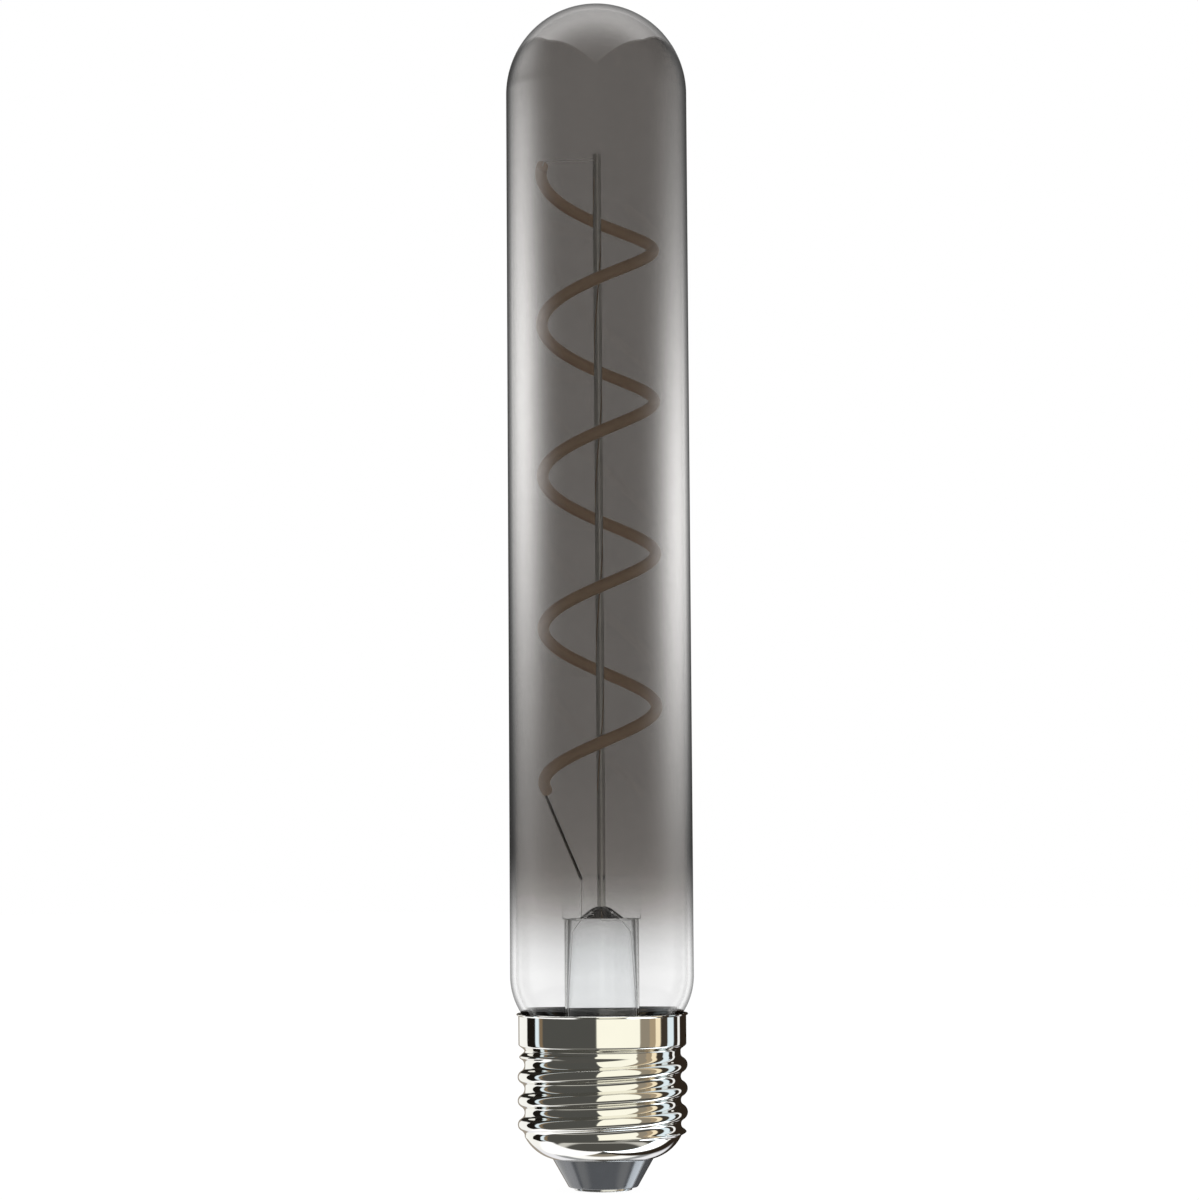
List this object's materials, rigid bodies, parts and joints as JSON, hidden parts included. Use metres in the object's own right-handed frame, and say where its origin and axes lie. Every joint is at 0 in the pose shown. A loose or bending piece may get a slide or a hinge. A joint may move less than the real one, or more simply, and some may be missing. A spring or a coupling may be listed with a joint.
{
  "type": "tubular light bulb",
  "caption": "Tubular LED lamp with a smoke-grey glass tube, a spiral filament round a centre rod, a glass stem and an Edison screw cap.",
  "frame": {"origin": "centre of the lower face of the centre contact", "axes": "+Z along the lamp's axis from the contact to the glass dome, front towards -Y"},
  "size_m": [0.0284, 0.0284, 0.185],
  "materials": {
    "smoke_glass": "clear smoke-grey tint that fades out towards the cap",
    "clear_glass": "clear, polished by the flame",
    "polished_steel": "polished",
    "filament_coating": "soft silicone with phosphor, satin",
    "lead_wire": "drawn nickel-plated wire",
    "feed_wire": "bright nickel wire",
    "cap_metal": "bright nickel plate",
    "insulator_glass": "glossy grey-blue glass",
    "contact_metal": "tinned, satin",
    "cement": "matt, fired",
    "board": "solder resist, satin",
    "capacitor_sleeve": "shrunk sleeve",
    "ferrite": "matt",
    "copper_winding": "enamelled copper",
    "chip_plastic": "moulded",
    "resistor_coat": "dipped coating",
    "mains_wire": "tinned wire"
  },
  "bodies": {
    "root": {"glass_envelope": "smoke_glass", "glass_stem": "clear_glass", "centre_rod": "polished_steel", "filament_spiral": "filament_coating", "lower_lead_wire": "lead_wire", "upper_link_wire": "feed_wire", "lower_feed_wire": "feed_wire", "rod_feed_wire": "feed_wire", "screw_shell": "cap_metal", "insulator": "insulator_glass", "centre_contact": "contact_metal", "basing_cement": "cement", "driver_board": "board", "smoothing_capacitor": "capacitor_sleeve", "choke_core": "ferrite", "choke_winding": "copper_winding", "bridge_rectifier": "chip_plastic", "driver_chip": "chip_plastic", "fusible_resistor": "resistor_coat", "contact_wire": "mains_wire", "shell_wire": "mains_wire"}
  },
  "joints": []
}
